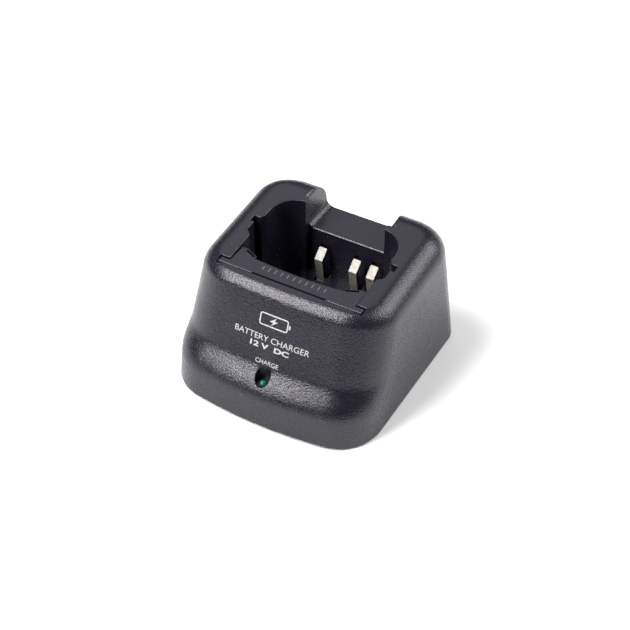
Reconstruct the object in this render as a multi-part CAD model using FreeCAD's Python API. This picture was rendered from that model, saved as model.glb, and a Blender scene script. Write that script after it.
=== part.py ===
import FreeCAD, Part
import math
import os
from FreeCAD import Vector

# A desktop charging cradle for a hand-held two-way radio, in millimetres.
# +Z is up, the front (lamp and lettering side) faces -Y, +X is to the right
# seen from the front.  The origin is the centre of the base on the table.

# ---------------------------------------------------------------- the case
CLEAR = 1.0                     # how far cutting tools run past a face
TOOL_REACH = 5.0                # and past a whole wall
NEAR = 0.01                     # two positions closer than this are one
FOOT_DROP = 1.2                 # how far the rubber feet stand below the case
CASE_Z = FOOT_DROP              # height of the case's bottom edge
CASE_HALF_WIDTH = 44.2
CASE_REAR_Y = 46.2
CASE_FRONT_Y = -46.2            # front wall, at its middle
WALL = 2.0
SIDE_DRAFT = 2.8                # degrees
REAR_DRAFT = 3.6
PLINTH_LEAN = 5.0               # the low front wall
FACE_LEAN = 23.2                # the printed front face above the step
STEP_LOW = 11.0                 # the step in the front starts and ends at these
STEP_HIGH = 23.5                # heights above the case's bottom edge
FACE_OFFSET = 0.4               # the face's foot, in front of the plinth's
PLINTH_BOW = 5.3                # how far the front bulges between its corners
FACE_BOW = 3.6
TOP_BOW = 1.6
BOW_FADE = 28.0                 # the height over which the bow flattens
FRONT_CORNER_R = 19.0
REAR_CORNER_R = 12.0
REAR_CORNER_GAIN = 0.12         # the rear corners grow rounder towards the top
TOP_HEIGHT = 52.13              # top face above the bottom edge, at y = 0
TOP_TILT = 4.375                # degrees, rising to the rear
FILLET_SIDE = 9.5
FILLET_FRONT = 6.6
FILLET_REAR = 13.0
WALL_TOP = 36.0                 # the walls are straight up to here
STEP_RINGS = 7                  # rings that shape the step and the top rounding
ROUNDING_RINGS = 7
RING_SPAN = 10.0                # the walls' slope is measured over this height

# -------------------------------------------------------------- the pocket
POCKET_FRONT_Y = -20.0
POCKET_FLOOR_Z = 19.0
POCKET_WALL = 1.8
POCKET_REAR_WALL = 3.2
TAB_SLOT_HALF = 31.7            # the spacer's tabs slide in these end slots
TAB_SLOT_DEPTH = 3.4
POCKET_HALF = 27.7
POCKET_WIDE_HALF = 30.15
RIB_SLOT_HALF = 31.85
RIB_SLOT_FRONT = 25.3           # distances behind the pocket's front edge
RIB_SLOT_REAR = 28.5
OGEE_START = 17.3               # the side walls step outwards between these
OGEE_END = 21.6
OGEE_SAG = 0.32
OGEE_SAG_Y = 1.2
CHEEK_TIP_HALF = 28.9
CHEEK_HALF = 27.95
CHEEK_START = 30.2
CHEEK_END = 33.0
BAY_BEND_HALF = 25.6            # a point on the arc from the cheek to the bay
BAY_BEND = 40.1
REAR_BAY_HALF = 17.8
REAR_BAY_START = 44.6
POCKET_LENGTH = 47.8
POCKET_RIM_R = 0.35             # the worn rounding along the pocket's mouth
SKY_Z = 70.0                    # above everything, for cutting tools

# ------------------------------------------------- the belt-clip notch
NOTCH_HALF = 18.5
NOTCH_Z = 40.4
NOTCH_ROOT_R = 3.6
NOTCH_LIP_R = 2.0
NOTCH_EDGE = 0.35               # the bevel along the notch's sill

# ------------------------------------------------- base, posts and feet
PLATE = 2.0
COVER_GAP = 0.3
POST_R = 3.6
POST_PILOT_R = 1.45
POST_SEAT_Z = 5.7
POST_PILOT_DEPTH = 13.0
BOARD_POST_R = 3.0
BOARD_PILOT_DEPTH = 8.0
CASE_SCREWS = [(-35.5, -26.0), (35.5, -26.0), (-34.0, 32.0), (34.0, 32.0)]
FOOT_R = 5.0
FOOT_RECESS = 0.8
FOOT_GAP = 0.1
FEET = {
    "foot_front_left": (-27.0, -34.0),
    "foot_front_right": (27.0, -34.0),
    "foot_rear_left": (-26.0, 36.5),
    "foot_rear_right": (26.0, 36.5),
}

# ------------------------------------------------- the electrical parts
BOARD_BOTTOM_Z = 5.6
BOARD_THICK = 1.6
BOARD_TOP_Z = BOARD_BOTTOM_Z + BOARD_THICK
BOARD_HALF = 30.0
BOARD_FRONT_Y = -36.0
BOARD_SHOULDER_Y = 27.0
BOARD_REAR_Y = 41.5
BOARD_LAMP_HALF = 9.0           # the tongue under the lamp
BOARD_LAMP_Y = -41.8
BOARD_JACK_HALF = 20.0          # the wide tongue under the inlet
BOARD_POSTS = [(-20.0, -14.0), (20.0, -14.0), (-22.0, 13.0), (24.0, 13.0)]
BOARD_PILOT_R = 1.15
LAMP_Y = -39.3
LAMP_LEDGE_Z = 17.5
LAMP_R = 1.5
LAMP_HOLE_R = 1.75
LAMP_WELL_R = 3.0
LAMP_SEAT_WALL = 1.6
LAMP_WELL_EDGE_R = 0.3
LAMP_WELL_TOP_Z = 30.0          # above the well's mouth
LAMP_LEDGE_WALL = 2.0
LAMP_FLANGE_STEP = 0.4
LAMP_LEAD_STUB = 0.8            # how far the leads come out below the board
LAMP_DROP = 0.6                 # the dome starts this far below the ledge
LAMP_NECK = 2.9
LAMP_FLANGE = 1.0
LAMP_LEAD_R = 0.25
STRIP_WIDTH = 3.5
STRIP_THICK = 0.3
STRIP_CENTRES = {"left": -10.3, "middle": 5.4, "right": 13.3}
STRIP_SLOT_MARGIN = 0.65
STRIP_SLOT_Y0 = 21.4            # floor opening below each strip
STRIP_SLOT_Y1 = 29.5
STRIP_RELIEF_Y = 25.0           # relief in the pocket's rear wall behind it
STRIP_RELIEF_DEPTH = 1.7
STRIP_RELIEF_Z = 33.9
STRIP_RELIEF_RISE = 0.6         # it starts this far above the floor
HINGE_Y = 23.6                  # where the contact strips flex
HINGE_Z = 17.8
JACK_HALF = 4.6
JACK_FRONT_Y = 28.9
JACK_REAR_Y = 42.4
JACK_TOP_Z = 17.0
JACK_AXIS_Z = BOARD_TOP_Z + 5.0
JACK_MOUTH_R = 3.1
JACK_PIN_R = 1.0

# ------------------------------------------------- plate, screws and label
LABEL_GAP = 0.3
LABEL_CORNER_R = 1.5
FOOT_EDGE_R = 0.5
LIP_STEP = 0.6
LIP_THICK = 1.2
LIP_HEIGHT = 3.0
PAD_R = 5.0
SCREW_R = 1.4
SCREW_HEAD_R = 2.7
SCREW_SEAT_Z = 3.6
SCREW_TIP_Z = 14.0
SCREW_HEAD_H = 1.7
SCREW_PLAY = 0.25
SCREW_HEAD_PLAY = 0.3
SCREW_HEAD_EDGE_R = 0.5
SCREW_POINT_R = 0.4
CROSS_HALF = 0.3                # half the width of the drive slots
CROSS_DEPTH = 0.9
CROSS_SHARE = 0.6               # of the head's radius
THREAD_PITCH = 1.2
THREAD_GROOVE = 0.5
THREAD_DEPTH = 0.3
THREAD_START = 2.0
BOARD_SCREW_R = 1.1
BOARD_SCREW_TIP_Z = 11.5
BOARD_SCREW_HEAD_R = 2.3
BOARD_SCREW_HEAD_H = 1.4
VENT_COUNT = 8
VENT_PITCH = 4.6
VENT_HALF = 1.0
VENT_Y0 = -27.0
VENT_Y1 = -15.0
LABEL_HALF = 22.0
LABEL_Y0 = -8.0
LABEL_Y1 = 18.0
LABEL_THICK = 0.3

# ------------------------------------------------------- the pocket spacer
SPACER_GAP = 0.25
SPACER_SIDE_GAP = 0.35
TAB_GAP = 0.6                   # play around the end tabs
SPACER_EDGE_R = 0.25
SPACER_WALL = 1.6
SPACER_LID = 2.0
SPACER_LID_REACH = 20.0
SPACER_TOP_Z = 51.7
SPACER_TILT = 1.5               # degrees, falling to the rear
SPACER_HORN_X = 24.9            # the two rear horns beside the radio
SPACER_HORN_Y = -7.8
SPACER_NOSE_X = 19.6
SPACER_NOSE_Y = -10.2
SPACER_BACK_Y = -11.7
SPACER_HOLLOW = 1.0             # the rear face curves in by this much
SPACER_RIBS = (-12.0, 12.0)
FINGER_HALF = 16.2              # the finger gap along the front edge
FINGER_DEPTH = 0.5
FINGER_HEIGHT = 7.0
SPACER_LIFT = 0.4               # the spacer stands this far off the floor
SPACER_RIB_HALF = 0.7
SPACER_RIB_RISE = 4.0
SLIT_HALF_LENGTH = 2.6
SLIT_HALF_WIDTH = 0.5
SLIT_DEPTH = 3.0
SLIT_BACK = 1.1
TICK_COUNT = 11
TICK_PITCH = 2.7
TICK_Y = -16.4
TICK_LENGTH = 2.2
TICK_HALF = 0.25
TICK_PROUD = 0.12
TICK_ROOT = 0.6

# ------------------------------------------------------ strips and sockets
STRIP_APEX_Y = 21.7
STRIP_APEX_Z = 29.9
STRIP_TIP_Y = 26.05
STRIP_TIP_Z = 33.5
STRIP_BEND_R = 0.28
STRIP_HOLE_R = 0.45
STRIP_HOLE_DROP = 1.5
STRIP_CORNER_R = 0.5
STRIP_CORNER_NEAR = 0.3
STRIP_BEND_NEAR = 0.6
STRIP_START_RISE = 0.15         # the moving strip starts this far above its hinge
TAIL_STOP_DROP = 0.1            # and its tail stops this far below
TAIL_STUB = 1.0
TAIL_RISE = 0.4
PIN_HALF = 0.6
PIN_PLAY = 0.15
BLOCK_SIDE = 3.2
BLOCK_FRONT = 2.6
BLOCK_REAR = 2.8
BLOCK_PLAY = 0.1
JACK_COLLAR = 1.9
JACK_BORE = 9.5
LAMP_LEAD_X = 1.27
JACK_EDGE_R = 0.6
JACK_COLLAR_WALL = 1.1
JACK_COLLAR_PLAY = 0.3
JACK_SPRING_HALF = 1.1
JACK_SPRING_THICK = 0.3
JACK_SPRING_RISE = 0.9
JACK_SPRING_ROOT = 1.2          # behind the bore
JACK_SPRING_DROP = 0.6          # below the bore
JACK_SPRING_ROOM = 0.4
JACK_SPRING_END = 1.0
JACK_SPRING_RAMP = 1.5
JACK_NOSE_R = 0.6
JACK_NOSE_END = 0.8
JACK_BEAD = 0.5
JACK_BEAD_LENGTH = 0.6

# ------------------------------------------------------ parts on the board
LEG_PITCH = 2.54
LEG_HALF = 0.4
LEG_THICK = 0.5
REGULATOR_X = 20.5
REGULATOR_TAB_Y = -28.5
REGULATOR_HALF = 5.0
REGULATOR_TAB = 1.3
REGULATOR_DEPTH = 4.5
REGULATOR_RISE = 3.4            # heights above the board
REGULATOR_BODY_TOP = 12.4
REGULATOR_TAB_TOP = 18.6
REGULATOR_HOLE_RISE = 15.6
REGULATOR_HOLE_R = 1.6
REGULATOR_LEG_Y = 1.3           # behind the tab
SINK_HALF = 8.5
SINK_SHEET = 1.5
SINK_DEPTH = 5.5
SINK_RISE = 0.3
SINK_TOP = 18.8
CLAMP_R = 1.5
CLAMP_HEAD_R = 2.6
CLAMP_HEAD = 1.9
CLAMP_NUT_R = 2.9
CLAMP_NUT = 1.6
CAN_EDGE_R = 0.5
CAN_GROOVE_Z = 1.8
CAN_GROOVE_R = 0.55
CAN_GROOVE_OUT = 0.2            # the groove's centre, outside the can
CAN_VENT_DEPTH = 0.15
INPUT_CAN = (-24.0, -29.0, 4.0, 12.0)
OUTPUT_CAN = (-12.0, -30.0, 3.15, 11.0)
CHIP_HALF = 9.2
CHIP_Y = -6.0
CHIP_HALF_DEPTH = 3.2
CHIP_REACH = 3.9
CHIP_BASE = 0.6
CHIP_TOP = 4.0
CHIP_LEGS = 7
CHIP_LEG_HALF = 0.35
CHIP_LEG_TOP = 2.2
CHIP_DOT_R = 0.8
CHIP_DOT_DEPTH = 0.4
BRICK_X0 = -6.0                 # the ceramic power resistor
BRICK_X1 = 16.0
BRICK_Y0 = 5.0
BRICK_Y1 = 14.0
BRICK_BASE = 0.8
BRICK_TOP = 9.3
BRICK_EDGE_R = 0.8
BRICK_LEAD_TOP = 4.5
AXIAL_RISE = 0.2                # the small parts' height above the board
AXIAL_LEAD_R = 0.3
RESISTOR_COUNT = 5
RESISTOR_X0 = -27.0
RESISTOR_PITCH = 3.6
RESISTOR_SPAN = (-7.6, -1.4)
RESISTOR_R = 1.15
RESISTOR_REACH = 1.2
DIODE_XS = (14.0, 18.5)
DIODE_SPAN = (-7.0, -2.0)
DIODE_R = 1.35
DIODE_REACH = 1.4
TRANSISTOR_X = 26.0
TRANSISTOR_Y = -3.0
TRANSISTOR_R = 2.3
TRANSISTOR_FLAT = 1.3
TRANSISTOR_RISE = 3.0
TRANSISTOR_HEIGHT = 4.6
TRANSISTOR_LEG_HALF = 0.25


def box(x0, x1, y0, y1, z0, z1):
    """A box between two corners."""
    return Part.makeBox(x1 - x0, y1 - y0, z1 - z0, Vector(x0, y0, z0))


def rod(radius, x, y, z0, z1):
    """An upright cylinder."""
    return Part.makeCylinder(radius, z1 - z0, Vector(x, y, z0))


def cone(r0, r1, x, y, z0, z1):
    """An upright cone or taper."""
    return Part.makeCone(r0, r1, z1 - z0, Vector(x, y, z0))


def rod_y(radius, x, z, y0, y1):
    """A cylinder along Y."""
    return Part.makeCylinder(radius, y1 - y0, Vector(x, y0, z), Vector(0, 1, 0))


def union(shapes):
    """One shape from several that touch or overlap."""
    joined = shapes[0]
    for shape in shapes[1:]:
        joined = joined.fuse(shape)
    return joined.removeSplitter()


def prism(points, direction):
    """A prism on a closed polygon."""
    wire = Part.makePolygon([Vector(*p) for p in points + points[:1]])
    return Part.Face(wire).extrude(Vector(*direction))


def round_edges(shape, radius, wanted):
    """Round the edges whose midpoint passes a test."""
    edges = []
    for edge in shape.Edges:
        middle = edge.valueAt((edge.FirstParameter + edge.LastParameter) / 2)
        if wanted(edge, middle):
            edges.append(edge)
    return shape.makeFillet(radius, edges)


def round_rim(edge):
    """True for a full circle, which has a single vertex."""
    return len(edge.Vertexes) == 1


def upright(edge):
    """True for a straight edge along Z."""
    if len(edge.Vertexes) < 2:
        return False
    span = edge.Vertexes[1].Point - edge.Vertexes[0].Point
    return abs(span.x) + abs(span.y) < 1e-6 and abs(span.z) > 1e-6


# ------------------------------------------------------------ the case skin
def rise(degrees, height):
    """How far a leaning wall has moved inwards at a height."""
    return height * math.tan(math.radians(degrees))


def half_outline(half, front, bow, front_r, rear, rear_r):
    """Plan outline from the middle of the front to the middle of the rear."""
    bend = bow / half ** 2
    start = half - front_r
    for _ in range(6):
        angle = math.atan(2 * bend * start)
        start = half - front_r * (1 - math.sin(angle))
    points = [(start * i / 7, front + bend * (start * i / 7) ** 2) for i in range(8)]
    centre_x = half - front_r
    centre_y = points[-1][1] + front_r * math.cos(angle)
    for i in range(1, 10):
        turn = angle + (math.pi / 2 - angle) * i / 9
        points.append((centre_x + front_r * math.sin(turn), centre_y - front_r * math.cos(turn)))
    side_end = rear - rear_r
    points += [(half, centre_y + (side_end - centre_y) * i / 6) for i in range(1, 6)]
    for i in range(10):
        turn = math.pi / 2 * i / 9
        points.append((half - rear_r + rear_r * math.cos(turn), side_end + rear_r * math.sin(turn)))
    points += [((half - rear_r) * (1 - i / 4), rear) for i in range(1, 5)]
    return points


def outline(height, inset):
    """The case's closed plan outline at a height above its bottom edge."""
    half = CASE_HALF_WIDTH - rise(SIDE_DRAFT, height) - inset
    rear = CASE_REAR_Y - rise(REAR_DRAFT, height) - inset
    rear_r = REAR_CORNER_R + REAR_CORNER_GAIN * height - inset
    front_r = FRONT_CORNER_R - inset
    plinth = CASE_FRONT_Y + rise(PLINTH_LEAN, height) + inset
    face = CASE_FRONT_Y - FACE_OFFSET + rise(FACE_LEAN, height) + inset
    bow = FACE_BOW + (TOP_BOW - FACE_BOW) * max(0.0, height - STEP_HIGH) / BOW_FADE
    part = min(1.0, max(0.0, (height - STEP_LOW) / (STEP_HIGH - STEP_LOW)))
    blend = part * part * (3 - 2 * part)
    low = half_outline(half, plinth, PLINTH_BOW, front_r, rear, rear_r)
    high = half_outline(half, face, bow, front_r, rear, rear_r)
    right = [(a[0] + (b[0] - a[0]) * blend, a[1] + (b[1] - a[1]) * blend) for a, b in zip(low, high)]
    left = [(-x, y) for x, y in right[-2:0:-1]]
    return right + left


def ring_curve(points):
    """A smooth closed curve, with the same parameters on every ring."""
    count = len(points)
    curve = Part.BSplineCurve()
    curve.interpolate(
        Points=[Vector(*p) for p in points],
        PeriodicFlag=True,
        Parameters=[i / count for i in range(count + 1)],
    )
    return Part.Wire([curve.toShape()])


def normals(points):
    """Outward directions of a closed outline."""
    count = len(points)
    result = []
    for i in range(count):
        ahead = points[(i + 1) % count]
        behind = points[i - 1]
        dx = ahead[0] - behind[0]
        dy = ahead[1] - behind[1]
        size = math.hypot(dx, dy)
        result.append((dy / size, -dx / size))
    return result


def wall_rings(inset):
    """Plan rings of the walls: the plinth, the step, and the walls above it."""
    low = -CLEAR if inset else 0.0
    step = [STEP_LOW + (STEP_HIGH - STEP_LOW) * i / STEP_RINGS for i in range(STEP_RINGS + 1)]
    groups = [[low, STEP_LOW], step, [STEP_HIGH, WALL_TOP]]
    return [[[(x, y, CASE_Z + h) for x, y in outline(h, inset)] for h in group] for group in groups]


def rounding_rings(inset):
    """Rings up the rounding between the walls and the tilted top face."""
    low = outline(WALL_TOP, inset)
    high = outline(WALL_TOP + RING_SPAN, inset)
    facing = normals(low)
    top = CASE_Z + TOP_HEIGHT - inset
    slope = math.tan(math.radians(TOP_TILT))
    rings = []
    for step in range(ROUNDING_RINGS + 1):
        ring = []
        for a, b, n in zip(low, high, facing):
            end = FILLET_REAR if n[1] > 0 else FILLET_FRONT
            radius = FILLET_SIDE + (end - FILLET_SIDE) * n[1] ** 2 - inset
            lean = math.atan(((a[0] - b[0]) * n[0] + (a[1] - b[1]) * n[1]) / RING_SPAN)
            share = (top + slope * a[1] - radius - CASE_Z - WALL_TOP) / RING_SPAN
            reach = radius / math.cos(lean)
            x = a[0] + (b[0] - a[0]) * share - n[0] * reach
            y = a[1] + (b[1] - a[1]) * share - n[1] * reach
            tilt = slope * n[1]
            finish = math.pi / 2 + math.atan(tilt)
            angle = lean + (finish - lean) * step / ROUNDING_RINGS
            centre_z = top + slope * y - radius / math.cos(math.atan(tilt))
            out = radius * math.cos(angle)
            ring.append((x + n[0] * out, y + n[1] * out, centre_z + radius * math.sin(angle)))
        rings.append(ring)
    return rings


def skin(inset):
    """The case's outer form, or the same form a wall's thickness inside it."""
    plinth, step, walls = wall_rings(inset)
    rounding = rounding_rings(inset)
    top = [(x, y, top_z(y) - inset) for x, y, _ in rounding[-1]]
    rounding[-1] = top
    walls.append(rounding[0])
    faces = []
    for rings, straight in ((plinth, True), (step, False), (walls, True), (rounding, False)):
        curves = [ring_curve(ring) for ring in rings]
        faces += Part.makeLoft(curves, False, straight).Faces
    faces.append(Part.Face(ring_curve(plinth[0])))
    faces.append(Part.Face(ring_curve(top)))
    shell = Part.makeShell(faces)
    shell.sewShape()
    solid = Part.makeSolid(shell)
    if solid.Volume < 0:
        solid.reverse()
    return solid


def pocket_half(grow, rear_grow):
    """The pocket's right half outline, grown outwards by a wall's thickness."""
    front = POCKET_FRONT_Y
    return {
        "front": front - grow,
        "tab_x": TAB_SLOT_HALF + grow,
        "tab_y": front + TAB_SLOT_DEPTH + grow,
        "side_x": POCKET_HALF + grow,
        "ogee_y": front + OGEE_START - grow,
        "wide_x": POCKET_WIDE_HALF + grow,
        "wide_y": front + OGEE_END - grow,
        "rib_front": front + RIB_SLOT_FRONT - grow,
        "rib_x": RIB_SLOT_HALF + grow,
        "rib_rear": front + RIB_SLOT_REAR + grow,
        "tip_x": CHEEK_TIP_HALF + grow,
        "cheek_x": CHEEK_HALF + grow,
        "cheek_y": front + CHEEK_START + grow,
        "cheek_end": front + CHEEK_END,
        "bay_x": REAR_BAY_HALF + grow,
        "bay_y": front + REAR_BAY_START + grow,
        "rear": front + POCKET_LENGTH + rear_grow,
    }


def pocket_prism(grow, rear_grow, z0, z1):
    """The pocket's space, or the block that its walls are left in."""
    p = pocket_half(grow, rear_grow)
    bulge = math.sqrt(0.5) * grow
    middle_ogee_x = (p["side_x"] + p["wide_x"]) / 2
    middle_ogee_y = (p["ogee_y"] + p["wide_y"]) / 2

    def edges_for(side):
        def at(x, y):
            return Vector(side * x, y, z0)

        corner = at(BAY_BEND_HALF + bulge, POCKET_FRONT_Y + BAY_BEND + bulge)
        return [
            Part.makeLine(at(0, p["front"]), at(p["tab_x"], p["front"])),
            Part.makeLine(at(p["tab_x"], p["front"]), at(p["tab_x"], p["tab_y"])),
            Part.makeLine(at(p["tab_x"], p["tab_y"]), at(p["side_x"], p["tab_y"])),
            Part.makeLine(at(p["side_x"], p["tab_y"]), at(p["side_x"], p["ogee_y"])),
            Part.Arc(
                at(p["side_x"], p["ogee_y"]),
                at(p["side_x"] + OGEE_SAG, p["ogee_y"] + OGEE_SAG_Y),
                at(middle_ogee_x, middle_ogee_y),
            ).toShape(),
            Part.Arc(
                at(middle_ogee_x, middle_ogee_y),
                at(p["wide_x"] - OGEE_SAG, p["wide_y"] - OGEE_SAG_Y),
                at(p["wide_x"], p["wide_y"]),
            ).toShape(),
            Part.makeLine(at(p["wide_x"], p["wide_y"]), at(p["wide_x"], p["rib_front"])),
            Part.makeLine(at(p["wide_x"], p["rib_front"]), at(p["rib_x"], p["rib_front"])),
            Part.makeLine(at(p["rib_x"], p["rib_front"]), at(p["rib_x"], p["rib_rear"])),
            Part.makeLine(at(p["rib_x"], p["rib_rear"]), at(p["tip_x"], p["rib_rear"])),
            Part.makeLine(at(p["tip_x"], p["rib_rear"]), at(p["cheek_x"], p["cheek_y"])),
            Part.makeLine(at(p["cheek_x"], p["cheek_y"]), at(p["cheek_x"], p["cheek_end"])),
            Part.Arc(at(p["cheek_x"], p["cheek_end"]), corner, at(p["bay_x"], p["bay_y"])).toShape(),
            Part.makeLine(at(p["bay_x"], p["bay_y"]), at(p["bay_x"], p["rear"])),
            Part.makeLine(at(p["bay_x"], p["rear"]), at(0, p["rear"])),
        ]

    edges = edges_for(1) + edges_for(-1)
    wire = Part.Wire(Part.__sortEdges__(edges))
    return Part.Face(wire).extrude(Vector(0, 0, z1 - z0))


def top_z(y):
    """Height of the case's top face."""
    return CASE_Z + TOP_HEIGHT + y * math.tan(math.radians(TOP_TILT))


def notch_cutter(grow, lip):
    """The belt-clip notch across the rear wall, as a bar along Y."""
    y0 = POCKET_FRONT_Y + POCKET_LENGTH - 0.5
    y1 = CASE_REAR_Y + TOOL_REACH
    high = top_z(CASE_REAR_Y) + TOOL_REACH
    half = NOTCH_HALF + grow
    floor = NOTCH_Z - grow
    root = NOTCH_ROOT_R + grow
    diagonal = root * (1 - math.sqrt(0.5))
    edges = []
    for side in (1, -1):
        corner = Part.Arc(
            Vector(side * (half - root), y0, floor),
            Vector(side * (half - diagonal), y0, floor + diagonal),
            Vector(side * half, y0, floor + root),
        )
        edges.append(Part.makeLine(Vector(0, y0, floor), Vector(side * (half - root), y0, floor)))
        edges.append(corner.toShape())
        edges.append(Part.makeLine(Vector(side * half, y0, floor + root), Vector(side * half, y0, high)))
        edges.append(Part.makeLine(Vector(side * half, y0, high), Vector(0, y0, high)))
    bar = Part.Face(Part.Wire(Part.__sortEdges__(edges))).extrude(Vector(0, y1 - y0, 0))
    if not lip:
        return bar
    # the flared upper lips of the notch, following the tilted top face
    flares = []
    slope = math.tan(math.radians(TOP_TILT))
    for side in (1, -1):
        line = top_z(y0)
        centre = Vector(side * (half + lip), y0, line - lip)
        start = Vector(side * half, y0, line - lip)
        middle = centre + Vector(-side * lip * math.sqrt(0.5), 0, lip * math.sqrt(0.5))
        end = Vector(side * (half + lip), y0, line)
        roof = Vector(side * (half + lip), y0, line + TOOL_REACH)
        inner = Vector(side * (half - CLEAR), y0, line + TOOL_REACH)
        foot = Vector(side * (half - CLEAR), y0, line - lip)
        wire = Part.Wire([
            Part.Arc(start, middle, end).toShape(),
            Part.makeLine(end, roof),
            Part.makeLine(roof, inner),
            Part.makeLine(inner, foot),
            Part.makeLine(foot, start),
        ])
        length = y1 - y0
        flares.append(Part.Face(wire).extrude(Vector(0, length, slope * length)))
    sill_y = POCKET_FRONT_Y + POCKET_LENGTH
    front_y = sill_y - CLEAR
    high = NOTCH_Z + CLEAR
    bevel = [(front_y, NOTCH_Z - NOTCH_EDGE - CLEAR), (sill_y + NOTCH_EDGE + CLEAR, high), (front_y, high)]
    sill_half = REAR_BAY_HALF - CLEAR
    sill = prism([(-sill_half, y, z) for y, z in bevel], (2 * sill_half, 0, 0))
    return union([bar, sill] + flares)


def strip_openings():
    """Floor openings and rear wall reliefs for the three contact strips."""
    cuts = []
    half = STRIP_WIDTH / 2 + STRIP_SLOT_MARGIN
    relief = POCKET_FRONT_Y + POCKET_LENGTH + STRIP_RELIEF_DEPTH
    low = POCKET_FLOOR_Z - POCKET_WALL - CLEAR
    rise_z = POCKET_FLOOR_Z + STRIP_RELIEF_RISE
    for x in STRIP_CENTRES.values():
        cuts.append(box(x - half, x + half, STRIP_SLOT_Y0, STRIP_SLOT_Y1, low, POCKET_FLOOR_Z + CLEAR))
        cuts.append(box(x - half, x + half, STRIP_RELIEF_Y, relief, rise_z, STRIP_RELIEF_Z))
    return cuts


def on_pocket_rim(edge, middle):
    """True for the edges where the pocket's side and front walls meet the top face."""
    if abs(middle.z - top_z(middle.y)) > NEAR:
        return False
    if abs(middle.x) > RIB_SLOT_HALF + NEAR or middle.y < POCKET_FRONT_Y - NEAR:
        return False
    return middle.y < POCKET_FRONT_Y + REAR_BAY_START - NEAR


def on_lamp_well_rim(edge, middle):
    """True for the edges where the lamp's well breaks through the front."""
    reach = math.hypot(middle.x, middle.y - LAMP_Y)
    on_wall = abs(reach - LAMP_WELL_R) < 2 * NEAR
    return on_wall and LAMP_LEDGE_Z + LAMP_WELL_EDGE_R < middle.z < LAMP_WELL_TOP_Z


def make_upper_case():
    """The one-piece upper moulding with its pocket, notch and screw posts."""
    outer = skin(0.0)
    hollow = skin(WALL)
    well = pocket_prism(POCKET_WALL, POCKET_REAR_WALL, POCKET_FLOOR_Z - POCKET_WALL, SKY_Z)
    hollow = hollow.cut(well)
    hollow = hollow.cut(notch_cutter(WALL, 0.0))
    for x, y in CASE_SCREWS:
        hollow = hollow.cut(rod(POST_R, x, y, POST_SEAT_Z, SKY_Z))
    for x, y in BOARD_POSTS:
        hollow = hollow.cut(rod(BOARD_POST_R, x, y, BOARD_TOP_Z, POCKET_FLOOR_Z))
    hollow = hollow.cut(rod(LAMP_WELL_R + LAMP_SEAT_WALL, 0, LAMP_Y, LAMP_LEDGE_Z - LAMP_LEDGE_WALL, SKY_Z))
    case = outer.cut(hollow)
    case = case.cut(pocket_prism(0.0, 0.0, POCKET_FLOOR_Z, SKY_Z))
    case = round_edges(case, POCKET_RIM_R, on_pocket_rim)
    case = case.cut(notch_cutter(0.0, NOTCH_LIP_R))
    case = case.cut(rod(LAMP_WELL_R, 0, LAMP_Y, LAMP_LEDGE_Z, SKY_Z))
    case = round_edges(case, LAMP_WELL_EDGE_R, on_lamp_well_rim)
    case = case.cut(rod(LAMP_HOLE_R, 0, LAMP_Y, LAMP_LEDGE_Z - TOOL_REACH, SKY_Z))
    for cut in strip_openings():
        case = case.cut(cut)
    for x, y in CASE_SCREWS:
        case = case.cut(rod(POST_PILOT_R, x, y, POST_SEAT_Z - CLEAR, POST_SEAT_Z + POST_PILOT_DEPTH))
    for x, y in BOARD_POSTS:
        case = case.cut(rod(BOARD_PILOT_R, x, y, BOARD_TOP_Z - CLEAR, BOARD_TOP_Z + BOARD_PILOT_DEPTH))
    mouth = JACK_MOUTH_R + JACK_COLLAR_WALL + JACK_COLLAR_PLAY
    return case.cut(rod_y(mouth, 0, JACK_AXIS_Z, JACK_REAR_Y - CLEAR, CASE_REAR_Y + TOOL_REACH))


# ------------------------------------------------------- the base and feet
def outline_plate(inset, z0, z1):
    """A flat plate with the case's plan outline at its foot, drawn in by an inset."""
    half = CASE_HALF_WIDTH - inset
    rear = CASE_REAR_Y - inset
    corner_r = REAR_CORNER_R - inset
    points = half_outline(half, CASE_FRONT_Y + inset, PLINTH_BOW, FRONT_CORNER_R - inset, rear, corner_r)
    nose, bow_end, corner_middle, corner_end = (points[i] for i in (0, 7, 12, 16))
    diagonal = corner_r * (1 - math.sqrt(0.5))

    def at(side, point):
        return Vector(side * point[0], point[1], z0)

    edges = [Part.Arc(at(-1, bow_end), at(1, nose), at(1, bow_end)).toShape()]
    for side in (1, -1):
        front_corner = Part.Arc(at(side, bow_end), at(side, corner_middle), at(side, corner_end))
        edges.append(front_corner.toShape())
        edges.append(Part.makeLine(at(side, corner_end), at(side, (half, rear - corner_r))))
        turn = at(side, (half - diagonal, rear - diagonal))
        turn_start = at(side, (half, rear - corner_r))
        edges.append(Part.Arc(turn_start, turn, at(side, (half - corner_r, rear))).toShape())
    edges.append(Part.makeLine(at(1, (half - corner_r, rear)), at(-1, (half - corner_r, rear))))
    wire = Part.Wire(Part.__sortEdges__(edges))
    return Part.Face(wire).extrude(Vector(0, 0, z1 - z0))


def slot(x, y0, y1, half, z0, z1):
    """A round-ended slot along Y."""
    ends = [rod(half, x, y0 + half, z0, z1), rod(half, x, y1 - half, z0, z1)]
    return union([box(x - half, x + half, y0 + half, y1 - half, z0, z1)] + ends)


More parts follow.
